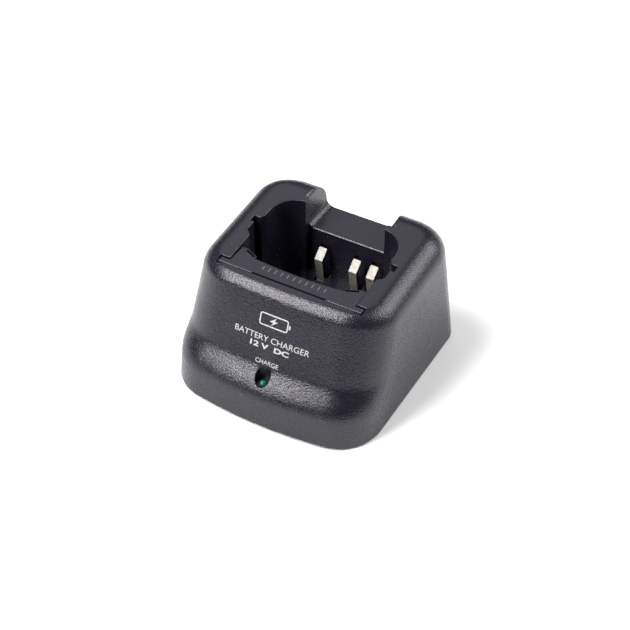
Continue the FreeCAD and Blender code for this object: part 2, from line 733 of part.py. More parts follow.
def make_base_cover():
    """The flat cover that closes the case from below."""
    gap = WALL + COVER_GAP
    top = CASE_Z + PLATE
    cover = outline_plate(gap, CASE_Z, top)
    lip = outline_plate(gap + LIP_STEP, top, top + LIP_HEIGHT)
    lip = lip.cut(outline_plate(gap + LIP_STEP + LIP_THICK, top - CLEAR, top + LIP_HEIGHT + CLEAR))
    pads = [rod(PAD_R, x, y, CASE_Z, POST_SEAT_Z) for x, y in CASE_SCREWS]
    cover = union([cover, lip] + pads)
    for x, y in CASE_SCREWS:
        cover = cover.cut(rod(SCREW_HEAD_R + SCREW_HEAD_PLAY, x, y, CASE_Z - CLEAR, SCREW_SEAT_Z))
        cover = cover.cut(rod(SCREW_R + SCREW_PLAY, x, y, CASE_Z - CLEAR, POST_SEAT_Z + CLEAR))
    for x, y in FEET.values():
        cover = cover.cut(rod(FOOT_R + FOOT_GAP, x, y, CASE_Z - CLEAR, CASE_Z + FOOT_RECESS))
    for i in range(VENT_COUNT):
        x = (i - (VENT_COUNT - 1) / 2) * VENT_PITCH
        cover = cover.cut(slot(x, VENT_Y0, VENT_Y1, VENT_HALF, CASE_Z - CLEAR, top + CLEAR))
    recess = box(-LABEL_HALF, LABEL_HALF, LABEL_Y0, LABEL_Y1, CASE_Z - CLEAR, CASE_Z + LABEL_THICK)
    return cover.cut(recess)


def make_rating_plate():
    """The blank plate stuck under the base."""
    half = LABEL_HALF - LABEL_GAP
    top = CASE_Z + LABEL_THICK
    plate = box(-half, half, LABEL_Y0 + LABEL_GAP, LABEL_Y1 - LABEL_GAP, CASE_Z, top)
    return round_edges(plate, LABEL_CORNER_R, lambda edge, middle: upright(edge))


def make_foot(x, y):
    """A round rubber foot, glued in its recess."""
    foot = rod(FOOT_R, x, y, 0.0, CASE_Z + FOOT_RECESS)
    return round_edges(foot, FOOT_EDGE_R, lambda edge, middle: abs(middle.z) < NEAR and round_rim(edge))


def cross_recess(x, y, z0, z1, reach):
    """The two crossed slots in a screw's head."""
    along = box(x - reach, x + reach, y - CROSS_HALF, y + CROSS_HALF, z0, z1)
    return along.fuse(box(x - CROSS_HALF, x + CROSS_HALF, y - reach, y + reach, z0, z1))


def upward_screw(x, y, seat_z, tip_z, radius, head_r, head_h):
    """A pan-head screw driven upwards, with its thread as shallow grooves."""
    head_z = seat_z - head_h
    head = rod(head_r, x, y, head_z, seat_z)

    def on_face(edge, middle):
        """True for the rim of the head's outer face."""
        return abs(middle.z - head_z) < NEAR and round_rim(edge)

    head = round_edges(head, SCREW_HEAD_EDGE_R, on_face)
    shank = rod(radius, x, y, seat_z, tip_z)
    tip = cone(radius, SCREW_POINT_R, x, y, tip_z, tip_z + radius)
    screw = union([head, shank, tip])
    screw = screw.cut(cross_recess(x, y, head_z - CLEAR, head_z + CROSS_DEPTH, head_r * CROSS_SHARE))
    turns = int((tip_z - seat_z - THREAD_START) / THREAD_PITCH)
    for i in range(turns):
        z = seat_z + THREAD_START + i * THREAD_PITCH
        ring = rod(radius + CLEAR, x, y, z, z + THREAD_GROOVE)
        ring = ring.cut(rod(radius - THREAD_DEPTH, x, y, z, z + THREAD_GROOVE))
        screw = screw.cut(ring)
    return screw


# --------------------------------------------------------- the pocket spacer
def make_pocket_spacer():
    """The lift-out spacer that narrows the pocket from the front."""
    front = POCKET_FRONT_Y + SPACER_GAP
    tab_rear = POCKET_FRONT_Y + TAB_SLOT_DEPTH - TAB_GAP
    side = POCKET_HALF - SPACER_SIDE_GAP
    tab = TAB_SLOT_HALF - TAB_GAP
    z0 = POCKET_FLOOR_Z + SPACER_LIFT

    def plan(shrink, ends):
        """The spacer's plan outline, drawn in by a wall's thickness."""
        half = side - shrink
        y0 = front + shrink
        right = [
            Vector(0, y0, z0),
            Vector(half, y0, z0),
            Vector(half, SPACER_HORN_Y - shrink, z0),
            Vector(SPACER_HORN_X, SPACER_HORN_Y - shrink, z0),
            Vector(SPACER_NOSE_X, SPACER_NOSE_Y - shrink, z0),
            Vector(SPACER_NOSE_X, SPACER_BACK_Y - shrink, z0),
        ]
        if ends:
            right[1:2] = [
                Vector(tab, y0, z0),
                Vector(tab, tab_rear, z0),
                Vector(half, tab_rear, z0),
            ]
        left = [Vector(-p.x, p.y, p.z) for p in right[:0:-1]]
        edges = [Part.makeLine(p, q) for p, q in zip(right, right[1:])]
        middle = Vector(0, SPACER_BACK_Y - SPACER_HOLLOW - shrink, z0)
        edges.append(Part.Arc(right[-1], middle, left[0]).toShape())
        edges += [Part.makeLine(p, q) for p, q in zip(left, left[1:] + right[:1])]
        return Part.Face(Part.Wire(edges))

    height = SPACER_TOP_Z - z0
    body = plan(0.0, True).extrude(Vector(0, 0, height))
    slope = math.tan(math.radians(SPACER_TILT))
    rear_y = front + SPACER_LID_REACH
    rear_z = SPACER_TOP_Z - slope * SPACER_LID_REACH
    above = SPACER_TOP_Z + TOOL_REACH
    lid = [(front, SPACER_TOP_Z), (rear_y, rear_z), (rear_y, above), (front, above)]
    body = body.cut(prism([(-CASE_HALF_WIDTH, y, z) for y, z in lid], (2 * CASE_HALF_WIDTH, 0, 0)))

    def on_lid(edge, middle):
        """True for the edges around the sloping lid."""
        return abs(middle.z - SPACER_TOP_Z + slope * (middle.y - front)) < NEAR

    body = round_edges(body, SPACER_EDGE_R, on_lid)
    room = plan(SPACER_WALL, False).extrude(Vector(0, 0, height - SPACER_LID))
    room.translate(Vector(0, 0, -NEAR))
    for x in SPACER_RIBS:
        x0 = x - SPACER_RIB_HALF
        x1 = x + SPACER_RIB_HALF
        rib = box(x0, x1, front, SPACER_HORN_Y, z0 + SPACER_RIB_RISE, SPACER_TOP_Z)
        room = room.cut(rib)
    body = body.cut(room)
    low = SPACER_TOP_Z - FINGER_HEIGHT
    high = SPACER_TOP_Z + CLEAR
    body = body.cut(box(-FINGER_HALF, FINGER_HALF, front - CLEAR, front + FINGER_DEPTH, low, high))
    angle = math.degrees(math.atan2(SPACER_NOSE_Y - SPACER_HORN_Y, SPACER_HORN_X - SPACER_NOSE_X))
    slit_x = (SPACER_HORN_X + SPACER_NOSE_X) / 2
    slit_y = (SPACER_HORN_Y + SPACER_NOSE_Y) / 2 - SLIT_BACK
    low = SPACER_TOP_Z - SLIT_DEPTH
    for sign in (-1, 1):
        slit = box(-SLIT_HALF_LENGTH, SLIT_HALF_LENGTH, -SLIT_HALF_WIDTH, SLIT_HALF_WIDTH, low, high)
        slit.rotate(Vector(0, 0, 0), Vector(0, 0, 1), -sign * angle)
        slit.translate(Vector(sign * slit_x, slit_y, 0))
        body = body.cut(slit)
    z = SPACER_TOP_Z - slope * (TICK_Y - front)
    for i in range(TICK_COUNT):
        x = (i - (TICK_COUNT - 1) / 2) * TICK_PITCH
        low = z - TICK_ROOT
        tick = box(x - TICK_HALF, x + TICK_HALF, TICK_Y, TICK_Y + TICK_LENGTH, low, z + TICK_PROUD)
        body = body.fuse(tick)
    return body


# ------------------------------------------------------ the contact strips
def make_contact(x):
    """The springy upper part of one contact strip."""
    half = STRIP_WIDTH / 2
    start = (HINGE_Y, HINGE_Z + STRIP_START_RISE)
    path = [start, (STRIP_APEX_Y, STRIP_APEX_Z), (STRIP_TIP_Y, STRIP_TIP_Z)]
    lower = math.atan2(path[1][1] - path[0][1], path[1][0] - path[0][0])
    upper = math.atan2(path[2][1] - path[1][1], path[2][0] - path[1][0])
    mitre = STRIP_THICK / math.cos((lower - upper) / 2)
    turns = [(lower, STRIP_THICK), ((lower + upper) / 2, mitre), (upper, STRIP_THICK)]
    back = []
    for (y, z), (turn, size) in zip(path, turns):
        back.append((y + size * math.sin(turn), z - size * math.cos(turn)))
    strip = prism([(x - half, y, z) for y, z in path + back[::-1]], (STRIP_WIDTH, 0, 0))

    def at_bend(edge, middle):
        """True for the two long edges across the bend."""
        across = abs(middle.x - x) < NEAR and edge.Length > STRIP_WIDTH - NEAR
        return across and math.hypot(middle.y - STRIP_APEX_Y, middle.z - STRIP_APEX_Z) < STRIP_BEND_NEAR

    strip = round_edges(strip, STRIP_BEND_R, at_bend)
    hole_z = STRIP_APEX_Z - STRIP_HOLE_DROP
    strip = strip.cut(rod_y(STRIP_HOLE_R, x, hole_z, HINGE_Y - TOOL_REACH, HINGE_Y + TOOL_REACH))
    tip_y = (back[2][0] + path[2][0]) / 2

    def at_tip(edge, middle):
        """True for the two short corners at the strip's end."""
        return edge.Length < STRIP_THICK + NEAR and abs(middle.y - tip_y) < STRIP_CORNER_NEAR

    return round_edges(strip, STRIP_CORNER_R, at_tip)


def make_contact_tails():
    """The fixed lower ends of the three strips, down through the board."""
    y0 = HINGE_Y
    y1 = HINGE_Y + STRIP_THICK
    half = STRIP_WIDTH / 2
    shoulder = BOARD_TOP_Z + TAIL_RISE
    tails = []
    for x in STRIP_CENTRES.values():
        wide = box(x - half, x + half, y0, y1, shoulder, HINGE_Z - TAIL_STOP_DROP)
        pin = box(x - PIN_HALF, x + PIN_HALF, y0, y1, BOARD_BOTTOM_Z - TAIL_STUB, shoulder)
        tails.append(union([wide, pin]))
    return Part.makeCompound(tails)


def make_contact_block():
    """The moulded block that carries the strips between board and pocket."""
    top = POCKET_FLOOR_Z - POCKET_WALL
    x0 = STRIP_CENTRES["left"] - BLOCK_SIDE
    x1 = STRIP_CENTRES["right"] + BLOCK_SIDE
    block = box(x0, x1, HINGE_Y - BLOCK_FRONT, HINGE_Y + BLOCK_REAR, BOARD_TOP_Z, top)
    half = STRIP_WIDTH / 2 + BLOCK_PLAY
    front = HINGE_Y - BLOCK_PLAY
    rear = HINGE_Y + STRIP_THICK + BLOCK_PLAY
    for x in STRIP_CENTRES.values():
        block = block.cut(box(x - half, x + half, front, rear, BOARD_TOP_Z - CLEAR, top + CLEAR))
    return block


# --------------------------------------------------- the board and its parts
def make_board():
    """The circuit board, with a tongue for the lamp and one for the socket."""
    half = [
        (BOARD_LAMP_HALF, BOARD_LAMP_Y),
        (BOARD_LAMP_HALF, BOARD_FRONT_Y),
        (BOARD_HALF, BOARD_FRONT_Y),
        (BOARD_HALF, BOARD_SHOULDER_Y),
        (BOARD_JACK_HALF, BOARD_SHOULDER_Y),
        (BOARD_JACK_HALF, BOARD_REAR_Y),
    ]
    plan = half + [(-x, y) for x, y in half[::-1]]
    board = prism([(x, y, BOARD_BOTTOM_Z) for x, y in plan], (0, 0, BOARD_THICK))
    low = BOARD_BOTTOM_Z - CLEAR
    high = BOARD_TOP_Z + CLEAR
    for x, y in BOARD_POSTS:
        board = board.cut(rod(BOARD_SCREW_R + SCREW_PLAY, x, y, low, high))
    pin = PIN_HALF + PIN_PLAY
    front = HINGE_Y - PIN_PLAY
    rear = HINGE_Y + STRIP_THICK + PIN_PLAY
    for x in STRIP_CENTRES.values():
        board = board.cut(box(x - pin, x + pin, front, rear, low, high))
    for x in (-LAMP_LEAD_X, LAMP_LEAD_X):
        board = board.cut(rod(LAMP_LEAD_R + PIN_PLAY, x, LAMP_Y, low, high))
    return board


def make_jack_housing():
    """The moulded body of the DC inlet socket."""
    body = box(-JACK_HALF, JACK_HALF, JACK_FRONT_Y, JACK_REAR_Y, BOARD_TOP_Z, JACK_TOP_Z)

    def top_side(edge, middle):
        """True for the two long top edges."""
        return abs(middle.x) > JACK_HALF - NEAR and abs(middle.z - JACK_TOP_Z) < NEAR

    body = round_edges(body, JACK_EDGE_R, top_side)
    collar_r = JACK_MOUTH_R + JACK_COLLAR_WALL
    body = body.fuse(rod_y(collar_r, 0, JACK_AXIS_Z, JACK_REAR_Y, JACK_REAR_Y + JACK_COLLAR))
    bore_y = JACK_REAR_Y - JACK_BORE
    body = body.cut(rod_y(JACK_MOUTH_R, 0, JACK_AXIS_Z, bore_y, JACK_REAR_Y + TOOL_REACH))
    body = body.cut(rod_y(JACK_PIN_R, 0, JACK_AXIS_Z, JACK_FRONT_Y - CLEAR, bore_y + CLEAR))
    leaf_z = JACK_AXIS_Z - JACK_MOUTH_R
    half = JACK_SPRING_HALF + BLOCK_PLAY
    y0 = bore_y - JACK_SPRING_ROOT
    y1 = JACK_REAR_Y - JACK_NOSE_END
    return body.cut(box(-half, half, y0, y1, leaf_z - JACK_SPRING_DROP, leaf_z + JACK_SPRING_ROOM))


def make_jack_pin():
    """The socket's centre pin, with its rounded nose."""
    bore_y = JACK_REAR_Y - JACK_BORE
    nose_y = JACK_REAR_Y - JACK_NOSE_END

    def on_nose(edge, middle):
        """True for the rim of the pin's free end."""
        return abs(middle.y - nose_y) < NEAR and round_rim(edge)

    pin = rod_y(JACK_PIN_R, 0, JACK_AXIS_Z, JACK_FRONT_Y - JACK_BEAD_LENGTH, nose_y)
    pin = round_edges(pin, JACK_NOSE_R, on_nose)
    return pin.fuse(rod_y(JACK_PIN_R + JACK_BEAD, 0, JACK_AXIS_Z, bore_y, bore_y + JACK_BEAD_LENGTH))


def make_jack_spring():
    """The leaf spring that presses on the outside of a plug."""
    low = JACK_AXIS_Z - JACK_MOUTH_R - JACK_SPRING_DROP
    high = low + JACK_SPRING_THICK
    y0 = JACK_REAR_Y - JACK_BORE - JACK_SPRING_ROOT
    y1 = JACK_REAR_Y - JACK_SPRING_END
    crest = (y1 - JACK_SPRING_RAMP, low + JACK_SPRING_RISE)
    side = [(y0, low), (y1, low), crest, (y1 - 2 * JACK_SPRING_RAMP, high), (y0, high)]
    return prism([(-JACK_SPRING_HALF, y, z) for y, z in side], (2 * JACK_SPRING_HALF, 0, 0))


def make_lamp():
    """The 3 mm indicator lamp with its domed top and its flange."""
    neck = LAMP_LEDGE_Z - LAMP_DROP
    shoulder = neck - LAMP_NECK
    flange = rod(LAMP_R + LAMP_FLANGE_STEP, 0, LAMP_Y, shoulder - LAMP_FLANGE, shoulder)
    body = rod(LAMP_R, 0, LAMP_Y, shoulder, neck)
    dome = Part.makeSphere(LAMP_R, Vector(0, LAMP_Y, neck))
    return union([flange, body, dome])


def make_lamp_leads():
    """The lamp's two wires down through the board."""
    top = LAMP_LEDGE_Z - LAMP_DROP - LAMP_NECK - LAMP_FLANGE
    low = BOARD_BOTTOM_Z - LAMP_LEAD_STUB
    leads = [rod(LAMP_LEAD_R, x, LAMP_Y, low, top) for x in (-LAMP_LEAD_X, LAMP_LEAD_X)]
    return Part.makeCompound(leads)


def make_regulator():
    """The power regulator: moulded body, metal tab and three legs."""
    x0 = REGULATOR_X - REGULATOR_HALF
    x1 = REGULATOR_X + REGULATOR_HALF
    y = REGULATOR_TAB_Y
    z = BOARD_TOP_Z
    front = y + REGULATOR_TAB
    body = box(x0, x1, front, y + REGULATOR_DEPTH, z + REGULATOR_RISE, z + REGULATOR_BODY_TOP)
    tab = box(x0, x1, y, front, z + REGULATOR_RISE, z + REGULATOR_TAB_TOP)
    hole = rod_y(REGULATOR_HOLE_R, REGULATOR_X, z + REGULATOR_HOLE_RISE, y - CLEAR, front + CLEAR)
    leg_y = front + REGULATOR_LEG_Y
    legs = []
    for i in (-1, 0, 1):
        x = REGULATOR_X + i * LEG_PITCH
        legs.append(box(x - LEG_HALF, x + LEG_HALF, leg_y, leg_y + LEG_THICK, z, z + REGULATOR_RISE))
    return union([body, tab.cut(hole)] + legs)


def make_heat_sink():
    """The folded aluminium heat sink in front of the regulator's tab."""
    x0 = REGULATOR_X - SINK_HALF
    x1 = REGULATOR_X + SINK_HALF
    y = REGULATOR_TAB_Y
    low = BOARD_TOP_Z + SINK_RISE
    high = BOARD_TOP_Z + SINK_TOP
    sheet = box(x0, x1, y - SINK_SHEET, y, low, high)
    left = box(x0, x0 + SINK_SHEET, y, y + SINK_DEPTH, low, high)
    right = box(x1 - SINK_SHEET, x1, y, y + SINK_DEPTH, low, high)
    hole_z = BOARD_TOP_Z + REGULATOR_HOLE_RISE
    hole = rod_y(REGULATOR_HOLE_R, REGULATOR_X, hole_z, y - SINK_SHEET - CLEAR, y + CLEAR)
    return union([sheet, left, right]).cut(hole)


def make_regulator_screw():
    """The screw and nut that clamp the regulator to its heat sink."""
    z = BOARD_TOP_Z + REGULATOR_HOLE_RISE
    front = REGULATOR_TAB_Y + REGULATOR_TAB
    back = REGULATOR_TAB_Y - SINK_SHEET
    head = rod_y(CLAMP_HEAD_R, REGULATOR_X, z, front, front + CLAMP_HEAD)
    shank = rod_y(CLAMP_R, REGULATOR_X, z, back - CLAMP_NUT, front)
    nut = rod_y(CLAMP_NUT_R, REGULATOR_X, z, back - CLAMP_NUT, back)
    return union([head, shank, nut])


def make_capacitor(x, y, radius, height):
    """An upright can capacitor with its crimped groove and vent cross."""
    z = BOARD_TOP_Z
    top = z + height
    can = rod(radius, x, y, z, top)

    def on_top(edge, middle):
        """True for the rim of the can's top."""
        return abs(middle.z - top) < NEAR and round_rim(edge)

    can = round_edges(can, CAN_EDGE_R, on_top)
    groove = Part.makeTorus(radius + CAN_GROOVE_OUT, CAN_GROOVE_R, Vector(x, y, z + CAN_GROOVE_Z))
    can = can.cut(groove)
    return can.cut(cross_recess(x, y, top - CAN_VENT_DEPTH, top + CLEAR, radius * CROSS_SHARE))


def make_controller():
    """The charge controller chip with its two rows of legs."""
    z = BOARD_TOP_Z
    y0 = CHIP_Y - CHIP_HALF_DEPTH
    y1 = CHIP_Y + CHIP_HALF_DEPTH
    body = box(-CHIP_HALF, CHIP_HALF, y0, y1, z + CHIP_BASE, z + CHIP_TOP)
    top = z + CHIP_TOP
    body = body.cut(rod(CHIP_DOT_R, -CHIP_HALF, CHIP_Y, top - CHIP_DOT_DEPTH, top + CLEAR))
    legs = []
    for i in range(CHIP_LEGS):
        x = (i - (CHIP_LEGS - 1) / 2) * LEG_PITCH
        left = x - CHIP_LEG_HALF
        right = x + CHIP_LEG_HALF
        legs.append(box(left, right, CHIP_Y - CHIP_REACH, y0, z, z + CHIP_LEG_TOP))
        legs.append(box(left, right, y1, CHIP_Y + CHIP_REACH, z, z + CHIP_LEG_TOP))
    return union([body] + legs)


def make_power_resistor():
    """The ceramic power resistor, lying on the board with its leads."""
    z = BOARD_TOP_Z
    length = BRICK_X1 - BRICK_X0
    body = box(BRICK_X0, BRICK_X1, BRICK_Y0, BRICK_Y1, z + BRICK_BASE, z + BRICK_TOP)
    body = round_edges(body, BRICK_EDGE_R, lambda edge, middle: abs(edge.Length - length) < NEAR)
    y = (BRICK_Y0 + BRICK_Y1) / 2
    leads = []
    for x in (BRICK_X0 - LEG_HALF, BRICK_X1 + LEG_HALF):
        lead = box(x - LEG_HALF, x + LEG_HALF, y - LEG_HALF, y + LEG_HALF, z, z + BRICK_LEAD_TOP)
        leads.append(lead)
    return union([body] + leads)


def lying_part(x, y0, y1, radius, lead_reach):
    """A small axial part lying along Y, with its bent leads."""
    z = BOARD_TOP_Z + radius + AXIAL_RISE
    body = rod_y(radius, x, z, y0, y1)
    leads = rod_y(AXIAL_LEAD_R, x, z, y0 - lead_reach, y1 + lead_reach)
    ends = [rod(AXIAL_LEAD_R, x, y, BOARD_TOP_Z, z) for y in (y0 - lead_reach, y1 + lead_reach)]
    return union([body, leads] + ends)


def make_transistor():
    """The small switching transistor, a D-shaped post on three legs."""
    x = TRANSISTOR_X
    y = TRANSISTOR_Y
    low = BOARD_TOP_Z + TRANSISTOR_RISE
    high = low + TRANSISTOR_HEIGHT
    body = rod(TRANSISTOR_R, x, y, low, high)
    side = TRANSISTOR_R + CLEAR
    body = body.cut(box(x - side, x + side, y + TRANSISTOR_FLAT, y + side, low - CLEAR, high + CLEAR))
    half = TRANSISTOR_LEG_HALF
    legs = []
    for i in (-1, 0, 1):
        leg_x = x + i * LEG_PITCH / 2
        legs.append(box(leg_x - half, leg_x + half, y - half, y + half, BOARD_TOP_Z, low))
    return union([body] + legs)


def case_screw(x, y):
    """One of the four screws that hold the base cover."""
    return upward_screw(x, y, SCREW_SEAT_Z, SCREW_TIP_Z, SCREW_R, SCREW_HEAD_R, SCREW_HEAD_H)


def board_screw(x, y):
    """One of the four screws that hold the board to its posts."""
    head_r = BOARD_SCREW_HEAD_R
    return upward_screw(x, y, BOARD_BOTTOM_Z, BOARD_SCREW_TIP_Z, BOARD_SCREW_R, head_r, BOARD_SCREW_HEAD_H)


# ------------------------------------------------------------- the assembly
resistors = []
for i in range(RESISTOR_COUNT):
    x = RESISTOR_X0 + RESISTOR_PITCH * i
    resistors.append(lying_part(x, *RESISTOR_SPAN, RESISTOR_R, RESISTOR_REACH))
diodes = [lying_part(x, *DIODE_SPAN, DIODE_R, DIODE_REACH) for x in DIODE_XS]
shapes = {}
shapes["upper_case"] = make_upper_case()
shapes["base_cover"] = make_base_cover()
shapes["rating_plate"] = make_rating_plate()
for name, (x, y) in FEET.items():
    shapes[name] = make_foot(x, y)
shapes["case_screws"] = Part.makeCompound([case_screw(x, y) for x, y in CASE_SCREWS])
shapes["pocket_spacer"] = make_pocket_spacer()
for side, x in STRIP_CENTRES.items():
    shapes["contact_" + side] = make_contact(x)
shapes["contact_tails"] = make_contact_tails()
shapes["contact_block"] = make_contact_block()
shapes["main_board"] = make_board()
shapes["board_screws"] = Part.makeCompound([board_screw(x, y) for x, y in BOARD_POSTS])
shapes["dc_jack_housing"] = make_jack_housing()
shapes["dc_jack_pin"] = make_jack_pin()
shapes["dc_jack_spring"] = make_jack_spring()
shapes["charge_lamp"] = make_lamp()
shapes["charge_lamp_leads"] = make_lamp_leads()
shapes["voltage_regulator"] = make_regulator()
shapes["heat_sink"] = make_heat_sink()
shapes["regulator_screw"] = make_regulator_screw()
shapes["input_capacitor"] = make_capacitor(*INPUT_CAN)
shapes["output_capacitor"] = make_capacitor(*OUTPUT_CAN)
shapes["charge_controller"] = make_controller()
shapes["power_resistor"] = make_power_resistor()
shapes["resistors"] = Part.makeCompound(resistors)
shapes["diodes"] = Part.makeCompound(diodes)
shapes["transistor"] = make_transistor()

os.makedirs("parts", exist_ok=True)
for name, shape in shapes.items():
    print(name, "valid" if shape.isValid() else "NOT VALID", len(shape.Solids), round(shape.Volume, 1))
    shape.exportStep("parts/%s.step" % name)
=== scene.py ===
"""The looks of a desktop charging cradle for a hand-held two-way radio."""

import logging
import math
from dataclasses import dataclass
from enum import Enum
from functools import cache
from typing import Any, Protocol

import bmesh
import bpy
from mathutils import Matrix, Vector
from mathutils.bvhtree import BVHTree


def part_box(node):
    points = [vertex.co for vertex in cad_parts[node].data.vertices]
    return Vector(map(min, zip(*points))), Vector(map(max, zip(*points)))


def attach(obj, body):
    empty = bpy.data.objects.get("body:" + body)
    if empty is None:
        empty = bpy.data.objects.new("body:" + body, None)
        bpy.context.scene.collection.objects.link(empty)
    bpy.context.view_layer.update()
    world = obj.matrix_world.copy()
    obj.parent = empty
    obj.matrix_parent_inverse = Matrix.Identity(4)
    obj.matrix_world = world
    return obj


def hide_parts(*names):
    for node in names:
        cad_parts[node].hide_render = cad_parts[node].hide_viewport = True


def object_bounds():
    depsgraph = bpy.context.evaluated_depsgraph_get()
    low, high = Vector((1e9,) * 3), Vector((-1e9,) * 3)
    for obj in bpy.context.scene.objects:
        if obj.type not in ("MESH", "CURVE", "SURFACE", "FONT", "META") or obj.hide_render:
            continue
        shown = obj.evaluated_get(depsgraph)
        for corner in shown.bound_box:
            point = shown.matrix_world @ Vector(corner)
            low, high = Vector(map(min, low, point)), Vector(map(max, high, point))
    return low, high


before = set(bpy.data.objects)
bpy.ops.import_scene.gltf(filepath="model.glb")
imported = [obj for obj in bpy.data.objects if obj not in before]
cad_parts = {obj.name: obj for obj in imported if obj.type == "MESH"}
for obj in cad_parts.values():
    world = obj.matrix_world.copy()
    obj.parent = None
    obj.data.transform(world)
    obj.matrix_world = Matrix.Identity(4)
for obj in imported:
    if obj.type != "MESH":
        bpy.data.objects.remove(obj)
CAD_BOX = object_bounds()
MM = 0.001
MERGE = 1e-6
SLIVER = 1e-7
Triple = tuple[float, float, float]
Colour = tuple[float, float, float, float]
EVEN: Triple = (1, 1, 1)
log = logging.getLogger("cradle")


class Coat(Enum):
    """How a moulded face was left by its mould."""

    GRAINED = "grained"
    SMOOTH = "smooth"


class Value:
    """A value that flows between shader nodes, with the usual arithmetic on numbers."""

    def __init__(self, graph: "Graph", socket: bpy.types.NodeSocket) -> None:
        """Keep the socket that holds the value.

        Args:
            graph: The graph that the socket belongs to.
            socket: The output socket of a node.
        """
        self.graph = graph
        self.socket = socket

    def _maths(self, operation: str, other: Any) -> "Value":
        """Add a Math node for one operation on this value and another."""
        return self.graph.maths(operation, self, other)

    def __add__(self, other: Any) -> "Value":
        """Sum."""
        return self._maths("ADD", other)

    __radd__ = __add__

    def __mul__(self, other: Any) -> "Value":
        """Product."""
        return self._maths("MULTIPLY", other)

    __rmul__ = __mul__

    def __sub__(self, other: Any) -> "Value":
        """Difference."""
        return self._maths("SUBTRACT", other)

    def __rsub__(self, other: Any) -> "Value":
        """Difference, with this value on the right."""
        return self.graph.maths("SUBTRACT", other, self)

    def clamp(self) -> "Value":
        """This value held between 0 and 1."""
        return self.graph.node("ShaderNodeClamp", {}, {"Value": self})

    def above(self, low: float, high: float) -> "Value":
        """A smooth mask; with low above high it runs the other way.

        Args:
            low: The value where the mask is 0.
            high: The value where the mask is 1.

        Returns:
            The mask.
        """
        settings = {"interpolation_type": "SMOOTHSTEP"}
        sockets = {"Value": self, "From Min": low, "From Max": high}
        return self.graph.node("ShaderNodeMapRange", settings, sockets)


